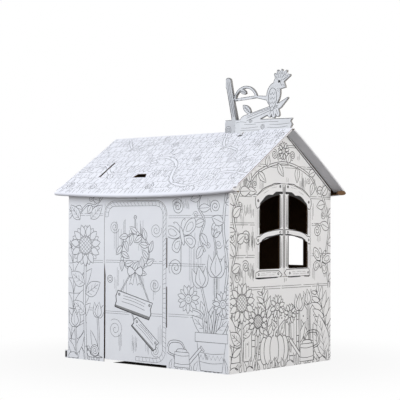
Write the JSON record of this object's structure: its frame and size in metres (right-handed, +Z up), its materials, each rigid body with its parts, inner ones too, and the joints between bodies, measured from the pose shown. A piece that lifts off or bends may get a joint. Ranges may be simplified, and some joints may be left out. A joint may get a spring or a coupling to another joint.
{
  "type": "cardboard playhouse",
  "caption": "Folded card playhouse with a gable roof, a flap door, an arched casement window and a cut-out bird on a log astride the ridge.",
  "frame": {"origin": "on the floor at the middle of the house's footprint", "axes": "+X along the ridge towards the window gable, -Y out of the door, +Z up"},
  "size_m": [1.07, 0.818, 1.2932],
  "materials": {
    "wall_board": "matte white printed liner, kraft inside",
    "roof_board": "matte white printed liner, kraft inside",
    "ridge_board": "matte white printed liner, kraft inside"
  },
  "bodies": {
    "root": {"front_wall_sheet": "wall_board", "back_wall_sheet": "wall_board", "roof_sheet": "roof_board", "ridge_piece": "ridge_board"}
  },
  "joints": []
}
